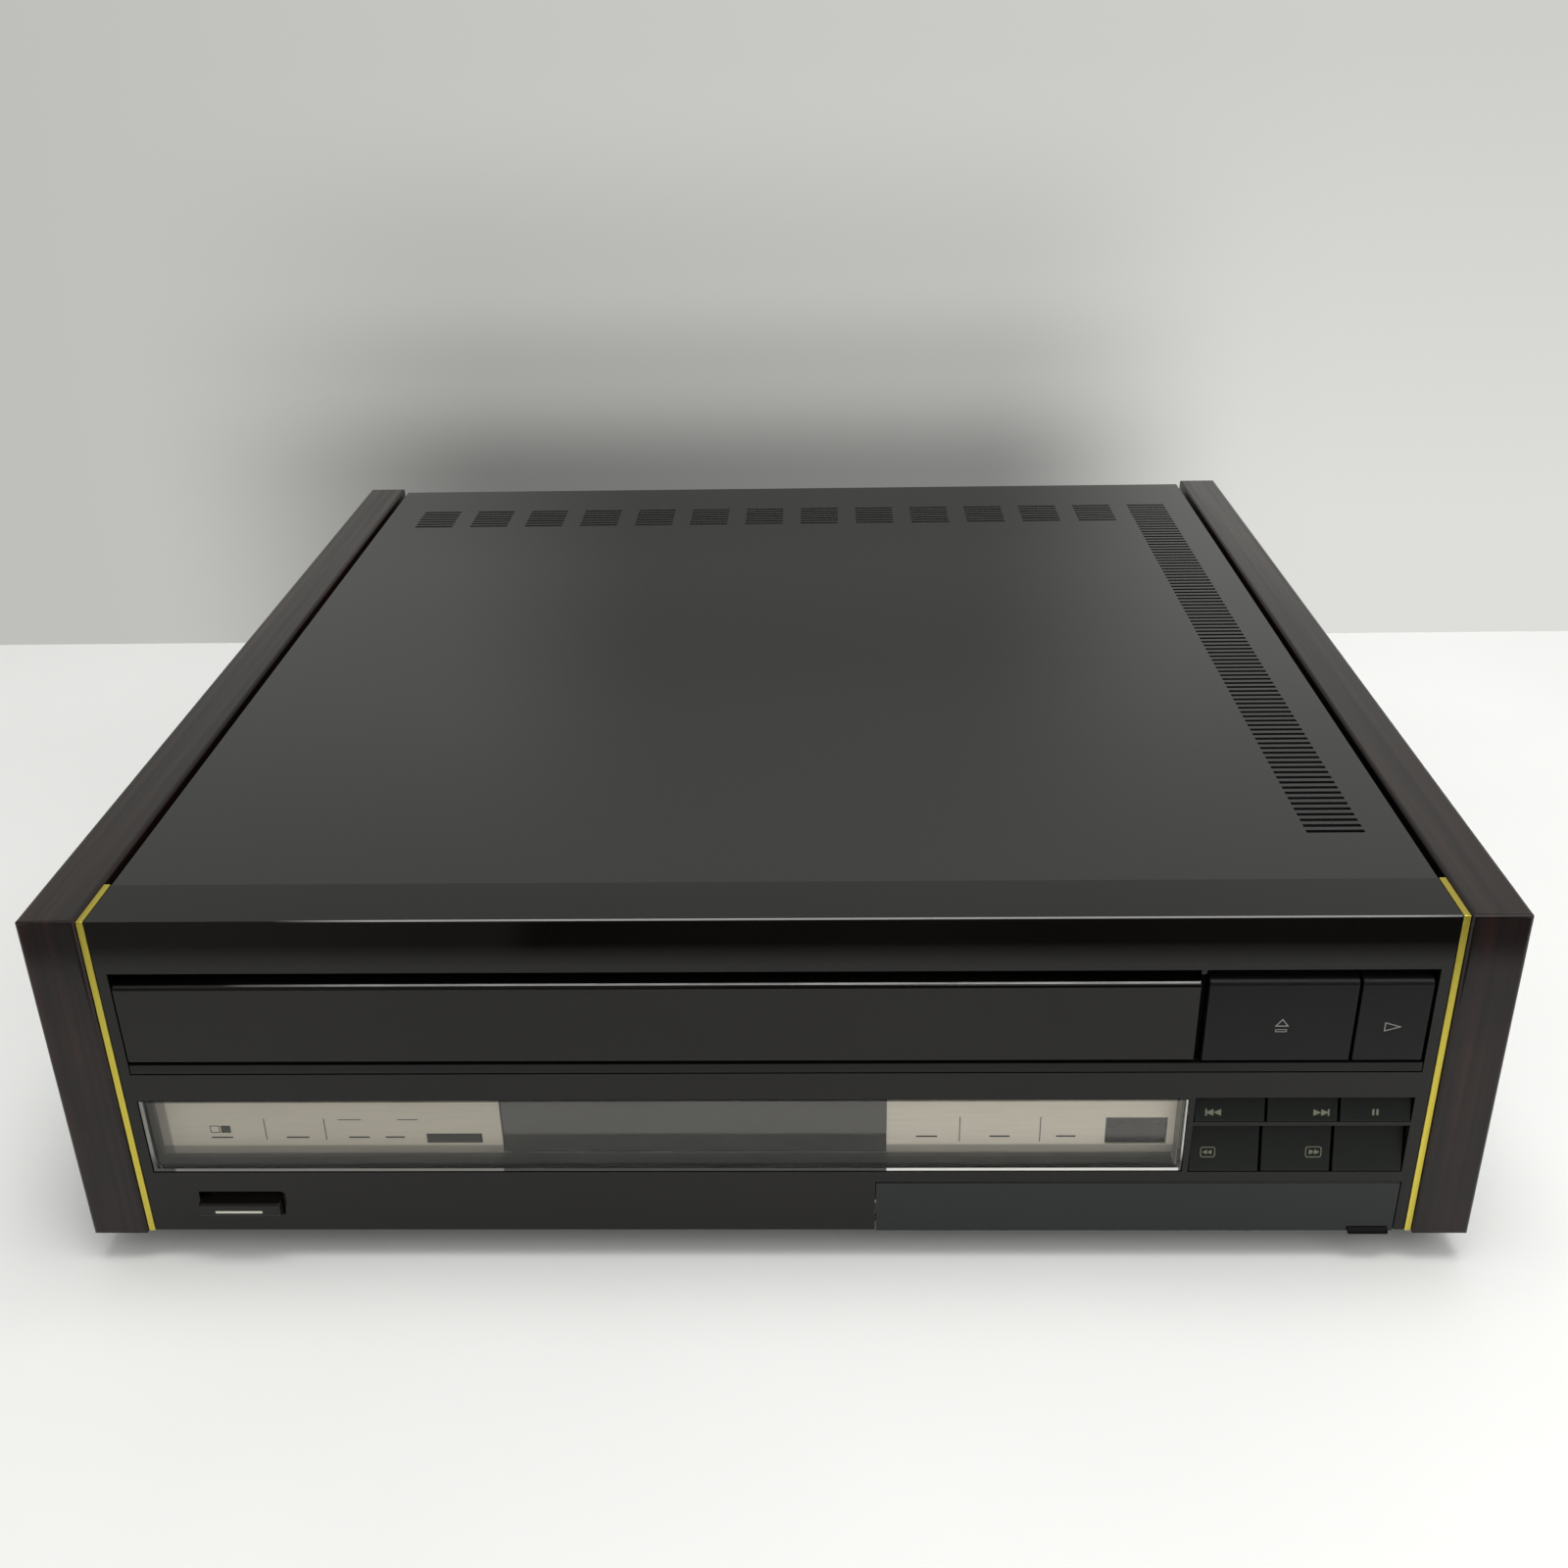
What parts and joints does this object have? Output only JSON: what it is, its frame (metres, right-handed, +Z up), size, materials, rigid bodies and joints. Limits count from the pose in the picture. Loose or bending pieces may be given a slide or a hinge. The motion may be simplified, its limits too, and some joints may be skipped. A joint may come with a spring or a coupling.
{
  "type": "laserdisc player",
  "caption": "Front-loading disc player: wooden side panels, sliding disc tray with geared drive, lifting disc mechanism, keys, display window and a drop-down control flap.",
  "frame": {"origin": "centre of the bottom of the bounding box, on the surface the feet stand on", "axes": "+X to the right as seen by a person in front, -Y towards that person, +Z up"},
  "size_m": [0.457, 0.4634, 0.1336],
  "materials": {
    "rosewood_gloss": "lacquered to a high gloss",
    "gold_strip": "polished",
    "front_gloss": "gloss",
    "cover_paint": "satin, fine texture",
    "zinc_steel": "zinc plated",
    "back_paint": "matt",
    "foot_plastic": "matt",
    "pad_rubber": "matt",
    "screw_steel": "plated",
    "window_clear": "clear, polished edges",
    "backing_champagne": "satin",
    "tube_glass": "dark glass",
    "sensor_dark": "gloss",
    "board_green": "solder mask",
    "board_brown": "phenolic board",
    "key_dark": "semi gloss",
    "inner_black": "matt",
    "small_key_grey": "matt",
    "tray_charcoal": "fine grain",
    "acetal_white": "moulded",
    "motor_steel": "plated can",
    "brass_turned": "turned",
    "platter_aluminium": "turned",
    "rod_chrome": "ground"
  },
  "bodies": {
    "root": {"wood_panel_left": "rosewood_gloss", "wood_panel_right": "rosewood_gloss", "gold_trims": "gold_strip", "front_panel": "front_gloss", "bay_ledge": "front_gloss", "top_cover": "cover_paint", "chassis": "zinc_steel", "loading_bracket": "zinc_steel", "lift_brackets": "zinc_steel", "clamp_bridge": "zinc_steel", "rear_panel": "back_paint", "feet": "foot_plastic", "foot_pads": "pad_rubber", "drive_belt": "pad_rubber", "case_screws": "screw_steel", "display_window": "window_clear", "display_backing": "backing_champagne", "display_tube": "tube_glass", "remote_sensor": "sensor_dark", "front_boards": "board_green", "main_board": "board_green", "power_supply": "board_brown", "control_panel": "inner_black", "power_switch": "inner_black", "headphone_jack": "inner_black", "ac_inlet": "inner_black", "tray_rails": "acetal_white", "loading_motor": "motor_steel", "rear_jacks": "brass_turned"},
    "tray": {"disc_tray": "tray_charcoal", "tray_door": "front_gloss", "tray_rack": "acetal_white"},
    "rack_gear": {"rack_gear": "acetal_white"},
    "belt_wheel": {"belt_wheel": "acetal_white"},
    "motor_pulley": {"motor_pulley": "brass_turned"},
    "deck": {"deck": "zinc_steel", "spindle_motor": "motor_steel", "guide_rods": "rod_chrome", "feed_motor": "motor_steel"},
    "turntable": {"turntable": "platter_aluminium"},
    "pickup": {"pickup_carriage": "platter_aluminium"},
    "feed_gear": {"feed_gear": "acetal_white"},
    "feed_pinion": {"feed_pinion": "brass_turned"},
    "lift_slider": {"lift_slider": "zinc_steel"},
    "clamp_arm": {"clamp_arm": "zinc_steel"},
    "clamper": {"clamper": "inner_black"},
    "open_close_button": {"open_close_button": "key_dark"},
    "play_button": {"play_button": "key_dark"},
    "skip_back_button": {"skip_back_button": "key_dark"},
    "skip_forward_button": {"skip_forward_button": "key_dark"},
    "pause_button": {"pause_button": "key_dark"},
    "scan_back_button": {"scan_back_button": "key_dark"},
    "scan_forward_button": {"scan_forward_button": "key_dark"},
    "mode_button": {"mode_button": "key_dark"},
    "power_button": {"power_button": "front_gloss"},
    "control_door": {"control_door": "front_gloss"},
    "control_key_1": {"control_key_1": "small_key_grey"},
    "control_key_2": {"control_key_2": "small_key_grey"},
    "control_key_3": {"control_key_3": "small_key_grey"},
    "level_knob": {"level_knob": "small_key_grey"}
  },
  "joints": [
    {"name": "tray_slide", "type": "slide", "parent": "root", "child": "tray", "axis": [0, -1, 0], "range_m": [0, 0.3]},
    {"name": "rack_gear_turn", "type": "hinge", "parent": "root", "child": "rack_gear", "pos_m": [0.09305, -0.16725, 0.081], "axis": [0, 0, 1], "range_deg": [-1150, 0]},
    {"name": "belt_wheel_turn", "type": "hinge", "parent": "root", "child": "belt_wheel", "pos_m": [0.05267, -0.16013, 0.071], "axis": [0, 0, 1], "range_deg": [0, 4080]},
    {"name": "motor_pulley_turn", "type": "hinge", "parent": "root", "child": "motor_pulley", "pos_m": [-0.00133, -0.16925, 0.067], "axis": [0, 0, 1], "range_deg": [0, 20400]},
    {"name": "deck_lift", "type": "slide", "parent": "root", "child": "deck", "axis": [0, 0, -1], "range_m": [0, 0.014]},
    {"name": "lift_slider_travel", "type": "slide", "parent": "root", "child": "lift_slider", "axis": [0, -1, 0], "range_m": [0, 0.0201]},
    {"name": "clamp_arm_tilt", "type": "hinge", "parent": "root", "child": "clamp_arm", "pos_m": [-0.03565, 0.16905, 0.1152], "axis": [-1, 0, 0], "range_deg": [0, 2.1]},
    {"name": "turntable_spin", "type": "hinge", "parent": "deck", "child": "turntable", "pos_m": [-0.03565, -0.05745, 0.071], "axis": [0, 0, 1], "continuous": true},
    {"name": "clamper_spin", "type": "hinge", "parent": "clamp_arm", "child": "clamper", "pos_m": [-0.03565, -0.05745, 0.106], "axis": [0, 0, 1], "continuous": true},
    {"name": "pickup_travel", "type": "slide", "parent": "deck", "child": "pickup", "axis": [0, 1, 0], "range_m": [0, 0.095]},
    {"name": "feed_gear_turn", "type": "hinge", "parent": "deck", "child": "feed_gear", "pos_m": [0.02305, 0.02755, 0.066], "axis": [0, 0, 1], "range_deg": [-760, 0]},
    {"name": "feed_pinion_turn", "type": "hinge", "parent": "deck", "child": "feed_pinion", "pos_m": [0.02305, 0.00515, 0.063], "axis": [0, 0, 1], "range_deg": [0, 1900]},
    {"name": "open_close_press", "type": "slide", "parent": "root", "child": "open_close_button", "axis": [0, 1, 0], "range_m": [0, 0.0015], "stiffness_N_per_m": 400, "springref_m": -0.0015},
    {"name": "play_press", "type": "slide", "parent": "root", "child": "play_button", "axis": [0, 1, 0], "range_m": [0, 0.0015], "stiffness_N_per_m": 400, "springref_m": -0.0015},
    {"name": "skip_back_press", "type": "slide", "parent": "root", "child": "skip_back_button", "axis": [0, 1, 0], "range_m": [0, 0.0015], "stiffness_N_per_m": 400, "springref_m": -0.0015},
    {"name": "skip_forward_press", "type": "slide", "parent": "root", "child": "skip_forward_button", "axis": [0, 1, 0], "range_m": [0, 0.0015], "stiffness_N_per_m": 400, "springref_m": -0.0015},
    {"name": "pause_press", "type": "slide", "parent": "root", "child": "pause_button", "axis": [0, 1, 0], "range_m": [0, 0.0015], "stiffness_N_per_m": 400, "springref_m": -0.0015},
    {"name": "scan_back_press", "type": "slide", "parent": "root", "child": "scan_back_button", "axis": [0, 1, 0], "range_m": [0, 0.0015], "stiffness_N_per_m": 400, "springref_m": -0.0015},
    {"name": "scan_forward_press", "type": "slide", "parent": "root", "child": "scan_forward_button", "axis": [0, 1, 0], "range_m": [0, 0.0015], "stiffness_N_per_m": 400, "springref_m": -0.0015},
    {"name": "mode_press", "type": "slide", "parent": "root", "child": "mode_button", "axis": [0, 1, 0], "range_m": [0, 0.0015], "stiffness_N_per_m": 400, "springref_m": -0.0015},
    {"name": "power_press", "type": "slide", "parent": "root", "child": "power_button", "axis": [0, 1, 0], "range_m": [0, 0.004], "stiffness_N_per_m": 400, "springref_m": -0.003},
    {"name": "control_door_open", "type": "hinge", "parent": "root", "child": "control_door", "pos_m": [0, -0.22265, 0.0144], "axis": [1, 0, 0], "range_deg": [0, 90]},
    {"name": "control_key_1_press", "type": "slide", "parent": "root", "child": "control_key_1", "axis": [0, 1, 0], "range_m": [0, 0.001], "stiffness_N_per_m": 400, "springref_m": -0.001},
    {"name": "control_key_2_press", "type": "slide", "parent": "root", "child": "control_key_2", "axis": [0, 1, 0], "range_m": [0, 0.001], "stiffness_N_per_m": 400, "springref_m": -0.001},
    {"name": "control_key_3_press", "type": "slide", "parent": "root", "child": "control_key_3", "axis": [0, 1, 0], "range_m": [0, 0.001], "stiffness_N_per_m": 400, "springref_m": -0.001},
    {"name": "level_knob_turn", "type": "hinge", "parent": "root", "child": "level_knob", "pos_m": [0.0779, -0.21725, 0.0225], "axis": [0, -1, 0], "range_deg": [-150, 150]}
  ],
  "couplings": [
    {"joint": "rack_gear_turn", "follows": "tray_slide", "rad_per_m": -66.667},
    {"joint": "belt_wheel_turn", "follows": "tray_slide", "rad_per_m": 237.04},
    {"joint": "motor_pulley_turn", "follows": "tray_slide", "rad_per_m": 1185.2},
    {"joint": "lift_slider_travel", "follows": "deck_lift", "ratio": 1.4286},
    {"joint": "clamp_arm_tilt", "follows": "deck_lift", "rad_per_m": 2.4933},
    {"joint": "clamper_spin", "follows": "turntable_spin", "ratio": 1},
    {"joint": "feed_gear_turn", "follows": "pickup_travel", "rad_per_m": -138.89},
    {"joint": "feed_pinion_turn", "follows": "pickup_travel", "rad_per_m": 347.22}
  ]
}
